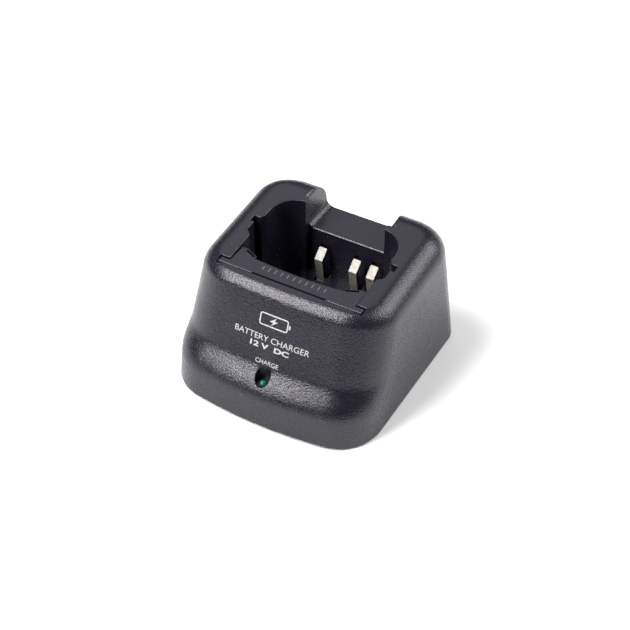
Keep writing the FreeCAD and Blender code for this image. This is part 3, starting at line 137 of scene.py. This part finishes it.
class Graph:
    """One material's nodes, ending in a Principled shader."""

    def __init__(self, name: str) -> None:
        """Start a material.

        Args:
            name: The material's name.
        """
        self.material = bpy.data.materials.new(name)
        self.material.use_nodes = True
        self.tree = self.material.node_tree
        self.tree.nodes.clear()
        self.shader = self.tree.nodes.new("ShaderNodeBsdfPrincipled")
        output = self.tree.nodes.new("ShaderNodeOutputMaterial")
        self.tree.links.new(self.shader.outputs[0], output.inputs["Surface"])
        coordinates = self.tree.nodes.new("ShaderNodeTexCoord")
        self.place = Value(self, coordinates.outputs["Object"])

    def _feed(self, socket: bpy.types.NodeSocket, value: Any) -> None:
        """Link or set one input socket.

        Args:
            socket: The input.
            value: A Value to link, or a constant to set.
        """
        if isinstance(value, Value):
            self.tree.links.new(value.socket, socket)
        else:
            socket.default_value = value

    def node(
        self, kind: str, settings: dict[str, Any], sockets: dict[Any, Any], out: Any = 0
    ) -> Value:
        """Add any node.

        Args:
            kind: The node's type name.
            settings: Its properties, or a ramp's stops under "stops".
            sockets: Values or links for its inputs, by name or number.
            out: The name or number of the output that is wanted.

        Returns:
            The wanted output.
        """
        made = self.tree.nodes.new(kind)
        for name, setting in settings.items():
            if name == "stops":
                for extra in range(len(setting) - 2):
                    made.color_ramp.elements.new(0.5)
                for element, (position, colour) in zip(made.color_ramp.elements, setting):
                    element.position = position
                    element.color = colour
            else:
                setattr(made, name, setting)
        for name, value in sockets.items():
            self._feed(made.inputs[name], value)
        return Value(self, made.outputs[out])

    def maths(self, operation: str, *values: Any) -> Value:
        """Add one Math node.

        Args:
            operation: The node's operation.
            values: Its inputs in order, as Values or constants.

        Returns:
            The result.
        """
        return self.node("ShaderNodeMath", {"operation": operation}, dict(enumerate(values)))

    def noise(self, size_mm: float, detail: float = 2.0, stretch: Triple = EVEN) -> Value:
        """Cloudy noise whose lumps are about size_mm across.

        Args:
            size_mm: The size of the lumps in millimetres.
            detail: How many finer octaves are added.
            stretch: Scale of the pattern along each axis.

        Returns:
            A value from about 0.3 to 0.7.
        """
        place = self.place
        if stretch != EVEN:
            place = self.node("ShaderNodeMapping", {}, {"Vector": place, "Scale": stretch})
        sockets = {"Vector": place, "Scale": 1.0 / (size_mm * MM), "Detail": detail}
        return self.node("ShaderNodeTexNoise", {}, sockets, "Fac")

    def cells(self, size_mm: float, feature: str = "F1") -> Value:
        """Distance from the middles of scattered cells.

        Args:
            size_mm: The size of a cell in millimetres.
            feature: Which distance the node gives.

        Returns:
            0 at the middle of a cell, rising outwards.
        """
        sockets = {"Vector": self.place, "Scale": 1.0 / (size_mm * MM)}
        return self.node("ShaderNodeTexVoronoi", {"feature": feature}, sockets, "Distance")

    def axis(self, name: str, source: str = "place") -> Value:
        """One coordinate of the place on the object, or of the surface's direction.

        Args:
            name: X, Y or Z.
            source: "place", or "facing" for the surface's own direction.

        Returns:
            The coordinate.
        """
        vector = self.place
        if source == "facing":
            vector = self.node("ShaderNodeNewGeometry", {}, {}, "Normal")
        return self.node("ShaderNodeSeparateXYZ", {}, {"Vector": vector}, name)

    def blend(self, share: Any, first: Any, second: Any) -> Value:
        """Mix two colours.

        Args:
            share: How much of the second colour, from 0 to 1.
            first: The first colour.
            second: The second colour.

        Returns:
            The mixed colour.
        """
        return self.node("ShaderNodeMix", {"data_type": "RGBA"}, {0: share, 6: first, 7: second}, 2)

    def bump(self, height: Value, depth_mm: float) -> Value:
        """Turn a height into a normal.

        Args:
            height: The relief, from 0 to about 1.
            depth_mm: How deep a relief of 1 is, in millimetres.

        Returns:
            The bumped normal.
        """
        sockets = {"Height": height, "Distance": depth_mm * MM, "Strength": 1.0}
        return self.node("ShaderNodeBump", {}, sockets)

    def finish(self, **sockets: Any) -> bpy.types.Material:
        """Feed the shader's sockets and hand over the material.

        Args:
            sockets: Values by socket name, with underscores for spaces.

        Returns:
            The finished material.
        """
        for name, value in sockets.items():
            self._feed(self.shader.inputs[name.replace("_", " ")], value)
        return self.material


def grey(level: float, warmth: float = 0.0) -> Colour:
    """A near-neutral colour; warmth above 0 is warmer, below 0 cooler."""
    return (level * (1 + warmth), level, level * (1 - warmth), 1.0)


def purple_grey(level: float) -> Colour:
    """A charcoal with the faint blue-purple cast of carbon-filled plastic."""
    return (level, level * 0.82, level * 1.6, 1.0)


@dataclass(frozen=True)
class Lid:
    """A sloping top face whose raised marks are painted pale as a painted highlight, in
    millimetres.
    """

    front_y: float
    top_z: float
    fall: float
    proud: float
    # painted highlight: the pale colour of the raised marks, standing in for light catching their
    # edges
    painted_highlight: Colour = (0.10, 0.10, 0.10, 1.0)
    cover: float = 0.8

    def mask(self, g: Graph) -> Value:
        """Where the surface stands above the lid.

        Args:
            g: The material's graph.

        Returns:
            How much painted highlight the raised marks get, and 0 elsewhere.
        """
        plane = self.top_z * MM - (g.axis("Y") - self.front_y * MM) * self.fall
        start, full = self.proud * 0.3 * MM, self.proud * 0.8 * MM
        return (g.axis("Z") - plane).above(start, full) * self.cover


@dataclass(frozen=True)
class MouldedPlastic:
    """Black moulded plastic with the mould's spark-eroded grain.

    Sizes ending in _mm are in millimetres. The grain is weaker on faces that
    point straight up, and on a smooth moulding it is weak all over.
    """

    name: str
    level: float = 0.008
    grain_mm: float = 0.62
    depth_mm: float = 0.12
    roughness: float = 0.265
    gloss: float = 0.5
    sheen_tint: Colour = (0.98, 0.955, 1.0, 1)
    dust: float = 0.5
    smooth_share: float = 0.3
    relief_share: float = 0.8
    fine_mm: float = 0.12
    fine_share: float = 0.12
    top_softening: float = 0.72
    cloud_mm: float = 9.0
    cloud_spread: float = 0.15
    speck_mm: float = 3.2
    speck_colour: Colour = (0.22 * 1.05, 0.22, 0.22 * 0.95, 1.0)
    smear_mm: float = 14.0
    smear_stretch: Triple = (1.0, 0.5, 1.4)
    coat: Coat = Coat.GRAINED
    lid: Lid | None = None

    def build(self) -> bpy.types.Material:
        """Make the material."""
        g = Graph(self.name)
        pebbles = 1 - g.cells(self.grain_mm, "SMOOTH_F1")
        ripple = g.noise(self.grain_mm * 0.8)
        relief = pebbles * self.relief_share + ripple * self.relief_share
        fine = g.noise(self.fine_mm)
        if self.coat is Coat.GRAINED:
            facing_up = g.axis("Z", "facing").above(0.90, 0.985)
            grain = 1 - facing_up * self.top_softening
        else:
            grain = self.smooth_share
        height = relief * grain + fine * self.fine_share
        dark = purple_grey(self.level * (1 - self.cloud_spread))
        light = purple_grey(self.level * (1 + self.cloud_spread))
        tint = g.blend(g.noise(self.cloud_mm, 3.0), dark, light)
        dusty = g.noise(5.0, 1.0).above(0.50, 0.56)
        specks = g.cells(self.speck_mm).above(0.075, 0.040) * dusty
        colour = g.blend(specks * self.dust, tint, self.speck_colour)
        # painted highlight: the lid's raised marks are painted pale
        if self.lid is not None:
            colour = g.blend(self.lid.mask(g), colour, self.lid.painted_highlight)
        smears = g.noise(self.smear_mm, 4.0, self.smear_stretch)
        roughness = self.roughness + (smears - 0.5) * 0.12
        roughness = roughness + (pebbles - 0.5) * 0.10 + specks * 0.2
        return g.finish(
            Base_Color=colour,
            Roughness=roughness.clamp(),
            Normal=g.bump(height, self.depth_mm),
            Specular_IOR_Level=self.gloss,
            Specular_Tint=self.sheen_tint,
        )


@dataclass(frozen=True)
class PlatedStrip:
    """Nickel-plated spring strip, rubbed bright by radios."""

    name: str
    dull: Colour = (0.27, 0.25, 0.22, 1)
    bright: Colour = (0.37, 0.355, 0.33, 1)
    metallic: float = 0.6
    roughness: float = 0.42
    line_mm: float = 0.25
    line_stretch: Triple = (6.0, 1.0, 0.15)
    stain_mm: float = 1.8
    depth_mm: float = 0.01

    def build(self) -> bpy.types.Material:
        """Make the material."""
        g = Graph(self.name)
        lines = g.noise(self.line_mm, 2.0, self.line_stretch)
        stains = g.noise(self.stain_mm, 3.0)
        roughness = self.roughness + lines * 0.22 + stains * 0.10
        return g.finish(
            Base_Color=g.blend(stains.above(0.35, 0.65), self.dull, self.bright),
            Metallic=self.metallic,
            Roughness=roughness.clamp(),
            Normal=g.bump(lines, self.depth_mm),
        )


@dataclass(frozen=True)
class LampResin:
    """Clear green resin of the indicator lamp, faintly lit."""

    name: str
    deep: Colour = (0.005, 0.10, 0.05, 1)
    pale: Colour = (0.02, 0.24, 0.12, 1)
    swirl_mm: float = 0.8
    depth_mm: float = 0.004
    clearness: float = 0.35
    glow: float = 0.12

    def build(self) -> bpy.types.Material:
        """Make the material."""
        g = Graph(self.name)
        swirl = g.noise(self.swirl_mm)
        tint = g.blend(swirl, self.deep, self.pale)
        return g.finish(
            Base_Color=tint,
            Roughness=0.06,
            Transmission_Weight=self.clearness,
            IOR=1.5,
            Emission_Color=tint,
            Emission_Strength=self.glow,
            Normal=g.bump(swirl, self.depth_mm),
        )


@dataclass(frozen=True)
class PrintedInk:
    """Off-white pad-printed ink, a little uneven."""

    name: str
    thin: Colour = (0.34, 0.34, 0.33, 1)
    full: Colour = (0.52, 0.52, 0.51, 1)
    mottle_mm: float = 0.35
    depth_mm: float = 0.02
    roughness: float = 0.62

    def build(self) -> bpy.types.Material:
        """Make the material."""
        g = Graph(self.name)
        cover = g.noise(self.mottle_mm, 3.0)
        return g.finish(
            Base_Color=g.blend(cover, self.thin, self.full),
            Roughness=self.roughness,
            Normal=g.bump(cover, self.depth_mm),
        )


@dataclass(frozen=True)
class Plain:
    """A simple material with a mottled colour and a fine surface."""

    name: str
    colour: Triple
    metallic: float = 0.0
    roughness: float = 0.5
    grain_mm: float = 0.5
    depth_mm: float = 0.02
    spread: float = 0.2
    stretch: Triple = EVEN

    def build(self) -> bpy.types.Material:
        """Make the material."""
        g = Graph(self.name)
        mottle = g.noise(self.grain_mm * 6, 3.0, self.stretch)
        grain = g.noise(self.grain_mm, 2.0, self.stretch)
        dark = tuple(c * (1 - self.spread) for c in self.colour) + (1,)
        light = tuple(min(1.0, c * (1 + self.spread)) for c in self.colour) + (1,)
        roughness = self.roughness + (mottle - 0.5) * 0.2
        return g.finish(
            Base_Color=g.blend(mottle, dark, light),
            Metallic=self.metallic,
            Roughness=roughness.clamp(),
            Normal=g.bump(grain, self.depth_mm),
        )


class Finish(Protocol):
    """What every finish has: a name, and a way to make its material."""

    name: str

    def build(self) -> bpy.types.Material:
        """Make the material."""


@cache
def material_of(finish: Finish) -> bpy.types.Material:
    """The material of a finish, made once and shared by all its pieces.

    Args:
        finish: Any frozen finish.

    Returns:
        Its material.
    """
    return finish.build()


def dress(obj: bpy.types.Object, finish: Finish) -> None:
    """Give an object one finish on all its faces.

    Args:
        obj: A new piece or a CAD node's object.
        finish: Its finish.
    """
    obj.data.materials.clear()
    obj.data.materials.append(material_of(finish))


def dress_nodes(finish: Finish, *nodes: str) -> None:
    """Give CAD nodes that keep their own shape one finish.

    Args:
        finish: Their finish.
        nodes: The nodes' names.
    """
    for node in nodes:
        dress(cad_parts[node], finish)
        log.info("%s: CAD shape in %s", node, finish.name)


def add_piece(name: str, mesh: bmesh.types.BMesh, finish: Finish) -> bpy.types.Object:
    """Turn a bmesh into a finished piece that rides on the cradle.

    Args:
        name: The piece's name.
        mesh: Its shape, in metres in the shared frame.
        finish: Its finish.

    Returns:
        The new object.
    """
    data = bpy.data.meshes.new(name)
    mesh.to_mesh(data)
    mesh.free()
    obj = bpy.data.objects.new(name, data)
    bpy.context.scene.collection.objects.link(obj)
    dress(obj, finish)
    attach(obj, "cradle")
    log.info("%s: %d faces in %s", name, len(data.polygons), finish.name)
    return obj


def smooth_copy(node: str, angle: float) -> bmesh.types.BMesh:
    """A CAD node's mesh with its loose triangles joined and its soft edges smooth.

    Args:
        node: The CAD node.
        angle: Edges that turn by less than this many degrees are smooth.

    Returns:
        The joined mesh.
    """
    mesh = bmesh.new()
    mesh.from_mesh(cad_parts[node].data)
    bmesh.ops.remove_doubles(mesh, verts=mesh.verts, dist=MERGE)
    bmesh.ops.dissolve_degenerate(mesh, edges=mesh.edges, dist=SLIVER)
    limit = math.radians(angle)
    for edge in mesh.edges:
        edge.smooth = len(edge.link_faces) == 2 and edge.calc_face_angle(0.0) < limit
    for face in mesh.faces:
        face.smooth = True
    return mesh


@dataclass
class UpperCase:
    """The black upper moulding, with its pocket, notch and lamp well."""

    soft_angle: float = 28.0
    plastic: MouldedPlastic = MouldedPlastic("case_plastic")

    def build(self) -> bpy.types.Object:
        """Make the smooth case and let it stand for the CAD node.

        Returns:
            The case, which the lettering is laid on.
        """
        dress_nodes(self.plastic, "upper_case")
        shape = smooth_copy("upper_case", self.soft_angle)
        piece = add_piece("case_top", shape, self.plastic)
        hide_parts("upper_case")
        return piece


@dataclass(frozen=True)
class Line:
    """One line of pad-printed lettering on the leaning front face, in millimetres."""

    piece: str
    words: str
    centre_x: float
    height_z: float
    width: float
    cap: float
    weight: float = 0.0


@dataclass
class Lettering:
    """The white pad print on the front of the case, in millimetres.

    The lines are drawn flat, then each point is carried straight back onto
    the case, so the print follows its curve.
    """

    case: bpy.types.Object
    film: float = 0.035
    longest_edge: float = 0.7
    sunk: float = 0.02
    lines: tuple[Line, ...] = (
        Line("print_title", "BATTERY CHARGER", 0.0, 33.9, 32.6, 2.4),
        Line("print_supply", "12 V  DC", -0.3, 30.9, 17.0, 2.2, 0.10),
        Line("print_charge", "CHARGE", -0.1, 25.2, 10.0, 1.7),
    )
    battery_width: float = 12.4
    battery_height: float = 5.2
    battery_stroke: float = 0.5
    battery_z: float = 40.9
    corner: float = 1.1
    corner_steps: int = 6
    nub_gap: float = 0.25
    nub_end: float = 0.95
    nub_half: float = 0.8
    half_bolt: tuple[tuple[float, float], ...] = ((1.0, 1.8), (-1.8, -0.3), (-0.2, -0.3))
    divisions: int = 5
    font_share: float = 1.4
    ink: PrintedInk = PrintedInk("white_ink")

    def flat_mesh(self, data: bpy.types.Curve) -> bmesh.types.BMesh:
        """Turn flat text or a flat curve into a closed thin mesh.

        Args:
            data: The curve, in millimetres.

        Returns:
            The mesh, in millimetres, centred on its own middle.
        """
        data.extrude = 0.5
        maker = bpy.data.objects.new("print_maker", data)
        bpy.context.scene.collection.objects.link(maker)
        bpy.context.view_layer.update()
        evaluated = maker.evaluated_get(bpy.context.evaluated_depsgraph_get())
        made = bpy.data.meshes.new_from_object(evaluated)
        mesh = bmesh.new()
        mesh.from_mesh(made)
        bmesh.ops.remove_doubles(mesh, verts=mesh.verts, dist=1e-4)
        bmesh.ops.recalc_face_normals(mesh, faces=mesh.faces)
        bpy.data.objects.remove(maker)
        bpy.data.meshes.remove(made)
        xs = [v.co.x for v in mesh.verts]
        ys = [v.co.y for v in mesh.verts]
        middle = Vector(((min(xs) + max(xs)) / 2, (min(ys) + max(ys)) / 2, 0))
        bmesh.ops.translate(mesh, verts=mesh.verts, vec=-middle)
        return mesh

    def divide(self, mesh: bmesh.types.BMesh) -> None:
        """Split long edges, so the print can follow the case's curve.

        Args:
            mesh: The flat print, which is changed.
        """
        for _ in range(self.divisions):
            flat = [e for e in mesh.edges if abs(e.verts[0].co.z - e.verts[1].co.z) < 0.1]
            long_edges = [e for e in flat if e.calc_length() > self.longest_edge]
            bmesh.ops.subdivide_edges(mesh, edges=long_edges, cuts=1, use_grid_fill=False)
            bmesh.ops.triangulate(mesh, faces=[f for f in mesh.faces if len(f.verts) > 3])

    def lay_on(
        self, mesh: bmesh.types.BMesh, centre_x: float, height_z: float, surface: BVHTree
    ) -> None:
        """Carry a flat mesh onto the case.

        Args:
            mesh: The flat print, upright along Y, in millimetres.
            centre_x: Where its middle goes across the case.
            height_z: Where its middle goes up the case.
            surface: The case, for ray casts.
        """
        back = Vector((0, 1, 0))
        start_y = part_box("upper_case")[0].y - 0.01
        middle = surface.ray_cast(Vector((centre_x * MM, start_y, height_z * MM)), back)[1]
        rise = math.hypot(middle.y, middle.z)
        climb = -middle.y / rise
        self.divide(mesh)
        for vert in mesh.verts:
            x = (vert.co.x + centre_x) * MM
            z = (vert.co.y * climb + height_z) * MM
            hit, normal, _, _ = surface.ray_cast(Vector((x, start_y, z)), back)
            lift = self.film if vert.co.z > 0 else -self.sunk
            vert.co = hit + normal * lift * MM

    def text(self, line: Line) -> bmesh.types.BMesh:
        """Make one line of lettering flat.

        Args:
            line: The words and their size.

        Returns:
            The flat mesh, of the right size.
        """
        data = bpy.data.curves.new("print_text", "FONT")
        data.body = line.words
        data.size = line.cap * self.font_share
        data.offset = line.weight
        mesh = self.flat_mesh(data)
        xs = [v.co.x for v in mesh.verts]
        ys = [v.co.y for v in mesh.verts]
        size = Vector((line.width / (max(xs) - min(xs)), line.cap / (max(ys) - min(ys)), 1))
        bmesh.ops.scale(mesh, verts=mesh.verts, vec=size)
        return mesh

    def battery(self) -> bmesh.types.BMesh:
        """Make the battery sign: a rounded frame, its terminal and a bolt inside.

        Returns:
            The flat mesh.
        """
        data = bpy.data.curves.new("print_sign", "CURVE")
        data.dimensions = "2D"
        data.fill_mode = "BOTH"
        half_w = self.battery_width / 2
        half_h = self.battery_height / 2
        stroke = self.battery_stroke
        outer = self.rounded(half_w, half_h, self.corner)
        inner = self.rounded(half_w - stroke, half_h - stroke, self.corner - stroke)
        near, far, side = half_w + self.nub_gap, half_w + self.nub_end, self.nub_half
        nub = [(near, -side), (far, -side), (far, side), (near, side)]
        bolt = [*self.half_bolt, *((-x, -y) for x, y in self.half_bolt)]
        for loop in (outer, inner, nub, bolt):
            spline = data.splines.new("POLY")
            spline.points.add(len(loop) - 1)
            for point, (x, y) in zip(spline.points, loop):
                point.co = (x, y, 0, 1)
            spline.use_cyclic_u = True
        return self.flat_mesh(data)

    def rounded(self, half_w: float, half_h: float, radius: float) -> list[tuple[float, float]]:
        """Outline a rectangle with round corners.

        Args:
            half_w: Half its width.
            half_h: Half its height.
            radius: The radius of its corners.

        Returns:
            Points about a millimetre apart.
        """
        corners = []
        for quarter, (sx, sy) in enumerate(((1, 1), (-1, 1), (-1, -1), (1, -1))):
            for step in range(self.corner_steps):
                turn = math.radians(90 * (quarter + step / (self.corner_steps - 1)))
                x = sx * (half_w - radius) + radius * math.cos(turn)
                corners.append(Vector((x, sy * (half_h - radius) + radius * math.sin(turn))))
        points = []
        for here, after in zip(corners, corners[1:] + corners[:1]):
            parts = max(1, round((after - here).length))
            points += [tuple(here.lerp(after, part / parts)) for part in range(parts)]
        return points

    def build(self) -> None:
        """Print every line and the battery sign."""
        surface = BVHTree.FromObject(self.case, bpy.context.evaluated_depsgraph_get())
        for line in self.lines:
            mesh = self.text(line)
            self.lay_on(mesh, line.centre_x, line.height_z, surface)
            add_piece(line.piece, mesh, self.ink)
        sign = self.battery()
        self.lay_on(sign, 0.0, self.battery_z, surface)
        add_piece("print_battery", sign, self.ink)


@dataclass
class PocketSpacer:
    """The loose spacer that narrows the pocket; its lid's tilt is in degrees."""

    lid_tilt: float = 1.5
    mark_rise: float = 0.12

    def build(self) -> None:
        """Dress the spacer, with its raised marks painted pale as a painted highlight."""
        low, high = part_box("pocket_spacer")
        fall = math.tan(math.radians(self.lid_tilt))
        lid = Lid(low.y / MM, high.z / MM, fall, self.mark_rise)
        plastic = MouldedPlastic(
            "spacer_plastic", level=0.010, coat=Coat.SMOOTH, dust=0.3, lid=lid
        )
        dress_nodes(plastic, "pocket_spacer")


@dataclass
class Contacts:
    """The three charging strips, their tails and the block that holds them."""

    plating: PlatedStrip = PlatedStrip("nickel_strip")
    holder: Plain = Plain("block_plastic", (0.03, 0.03, 0.03), roughness=0.45)

    def build(self) -> None:
        """Dress the strips and their block."""
        dress_nodes(self.plating, "contact_left", "contact_middle", "contact_right")
        dress_nodes(self.plating, "contact_tails")
        dress_nodes(self.holder, "contact_block")


@dataclass
class Underside:
    """The base cover with its screws, its feet and its blank label."""

    plastic: MouldedPlastic = MouldedPlastic("cover_plastic", level=0.010, depth_mm=0.10)
    steel: Plain = Plain("screw_steel", (0.62, 0.62, 0.63), metallic=1.0, roughness=0.32)
    rubber: Plain = Plain(
        "foot_rubber", (0.02, 0.02, 0.02), roughness=0.8, grain_mm=0.3, depth_mm=0.05
    )
    foil: Plain = Plain("label_foil", (0.6, 0.6, 0.6), metallic=0.9, roughness=0.4)

    def build(self) -> None:
        """Dress everything that shows from below."""
        dress_nodes(self.plastic, "base_cover")
        dress_nodes(self.steel, "case_screws")
        for end in ("front", "rear"):
            dress_nodes(self.rubber, f"foot_{end}_left", f"foot_{end}_right")
        dress_nodes(self.foil, "rating_plate")


@dataclass
class Inlet:
    """The DC socket in the rear wall."""

    shell: Plain = Plain("jack_plastic", (0.02, 0.02, 0.02), roughness=0.3)
    plating: PlatedStrip = PlatedStrip("nickel_strip")

    def build(self) -> None:
        """Dress the socket."""
        dress_nodes(self.shell, "dc_jack_housing")
        dress_nodes(self.plating, "dc_jack_pin", "dc_jack_spring")


@dataclass
class ChargeLamp:
    """The green lamp in its well, and its wires."""

    resin: LampResin = LampResin("lamp_resin")
    wire: Plain = Plain("tinned_wire", (0.75, 0.75, 0.76), metallic=1.0, roughness=0.25)

    def build(self) -> None:
        """Dress the lamp."""
        dress_nodes(self.resin, "charge_lamp")
        dress_nodes(self.wire, "charge_lamp_leads")


@dataclass
class CircuitBoard:
    """The board inside the case and everything soldered to it."""

    laminate: Plain = Plain("board_laminate", (0.30, 0.22, 0.09), stretch=(1, 4, 1))
    steel: Plain = Plain("screw_steel", (0.62, 0.62, 0.63), metallic=1.0, roughness=0.32)
    resin: Plain = Plain("chip_resin", (0.03, 0.03, 0.03), roughness=0.55)
    aluminium: Plain = Plain("sink_aluminium", (0.72, 0.73, 0.75), metallic=1.0, roughness=0.38)
    sleeve: Plain = Plain("can_sleeve", (0.03, 0.05, 0.14), roughness=0.3)
    ceramic: Plain = Plain("ceramic", (0.72, 0.70, 0.66), roughness=0.7)
    lacquer: Plain = Plain("resistor_lacquer", (0.55, 0.42, 0.27), roughness=0.35)
    diode: Plain = Plain("diode_glass", (0.03, 0.03, 0.03), roughness=0.4)

    def build(self) -> None:
        """Dress the board and its parts."""
        dress_nodes(self.laminate, "main_board")
        dress_nodes(self.steel, "board_screws", "regulator_screw")
        dress_nodes(self.resin, "voltage_regulator", "charge_controller", "transistor")
        dress_nodes(self.aluminium, "heat_sink")
        dress_nodes(self.sleeve, "input_capacitor", "output_capacitor")
        dress_nodes(self.ceramic, "power_resistor")
        dress_nodes(self.lacquer, "resistors")
        dress_nodes(self.diode, "diodes")


@dataclass(frozen=True)
class FloorPaper:
    """Pale seamless paper."""

    name: str

    def build(self) -> bpy.types.Material:
        """Make the material."""
        g = Graph(self.name)
        shade = g.noise(60.0)
        return g.finish(Base_Color=g.blend(shade, grey(0.86), grey(0.90)), Roughness=0.9)


@dataclass(frozen=True)
class Softbox:
    """One square soft light: its place and side in metres, its power in watts."""

    name: str
    place: Triple
    side: float
    power: float


@dataclass
class Studio:
    """The pale floor, the soft lights and the camera.

    Angles are in degrees, the camera's distances in millimetres.
    """

    azimuth: float = 29.441
    elevation: float = 42.013
    roll: float = 0.133
    distance: float = 598.0
    aim_offset: Triple = (0.14, 0.66, -6.7)
    lens: float = 85.714
    sensor: float = 36.0
    floor_reach: float = 4.0
    paper: FloorPaper = FloorPaper("floor_paper")
    sky: Colour = (0.9, 0.92, 0.95, 1)
    sky_strength: float = 0.12
    softboxes: tuple[Softbox, ...] = (
        Softbox("overhead", (-0.33, -0.22, 0.82), 0.36, 8.0),
        Softbox("front_left", (-0.34, -0.60, 0.58), 0.34, 7.0),
        Softbox("rear_right", (0.95, 0.75, 1.0), 1.2, 26.0),
        Softbox("rear_above", (-0.55, 0.80, 1.15), 0.9, 2.6),
    )

    def camera(self) -> None:
        """Set the camera at the viewing angle."""
        low, high = CAD_BOX
        aim = (Vector(low) + Vector(high)) / 2 + Vector(self.aim_offset) * MM
        turn, rise = math.radians(self.azimuth), math.radians(self.elevation)
        reach = math.cos(rise)
        back = Vector((math.sin(turn) * reach, -math.cos(turn) * reach, math.sin(rise)))
        right = Vector((math.cos(turn), math.sin(turn), 0))
        up = back.cross(right)
        data = bpy.data.cameras.new("camera")
        data.lens = self.lens
        data.sensor_width = self.sensor
        data.clip_start = 0.01
        camera = bpy.data.objects.new("camera", data)
        axes = Matrix((right, up, back)).transposed().to_4x4()
        spin = Matrix.Rotation(math.radians(self.roll), 4, "Z")
        camera.matrix_world = Matrix.Translation(aim + back * self.distance * MM) @ axes @ spin
        bpy.context.scene.collection.objects.link(camera)
        bpy.context.scene.camera = camera

    def floor(self) -> None:
        """Lay the paper that the cradle stands on."""
        mesh = bmesh.new()
        bmesh.ops.create_grid(mesh, x_segments=1, y_segments=1, size=self.floor_reach)
        data = bpy.data.meshes.new("floor")
        mesh.to_mesh(data)
        mesh.free()
        floor = bpy.data.objects.new("floor", data)
        bpy.context.scene.collection.objects.link(floor)
        dress(floor, self.paper)

    def hang(self, box: Softbox) -> None:
        """Hang one soft light that points at the object.

        Args:
            box: The light.
        """
        data = bpy.data.lights.new(box.name, "AREA")
        data.size = box.side
        data.energy = box.power
        lamp = bpy.data.objects.new(box.name, data)
        lamp.location = box.place
        middle = (Vector(CAD_BOX[0]) + Vector(CAD_BOX[1])) / 2
        lamp.rotation_euler = (middle - lamp.location).to_track_quat("-Z", "Y").to_euler()
        bpy.context.scene.collection.objects.link(lamp)

    def build(self) -> None:
        """Set up the floor, sky, lights and camera."""
        self.floor()
        world = bpy.data.worlds.new("studio")
        world.use_nodes = True
        background = world.node_tree.nodes["Background"]
        background.inputs["Color"].default_value = self.sky
        background.inputs["Strength"].default_value = self.sky_strength
        bpy.context.scene.world = world
        for box in self.softboxes:
            self.hang(box)
        bpy.context.scene.view_settings.view_transform = "Standard"
        self.camera()


def main() -> None:
    """Build every sub-assembly in order, then the studio."""
    logging.basicConfig(level=logging.INFO, format="%(name)s: %(message)s")
    case = UpperCase().build()
    bpy.context.view_layer.update()
    Lettering(case).build()
    for part in (PocketSpacer(), Contacts(), Underside(), Inlet(), ChargeLamp(), CircuitBoard()):
        part.build()
    Studio().build()


if __name__ == "__main__":
    main()
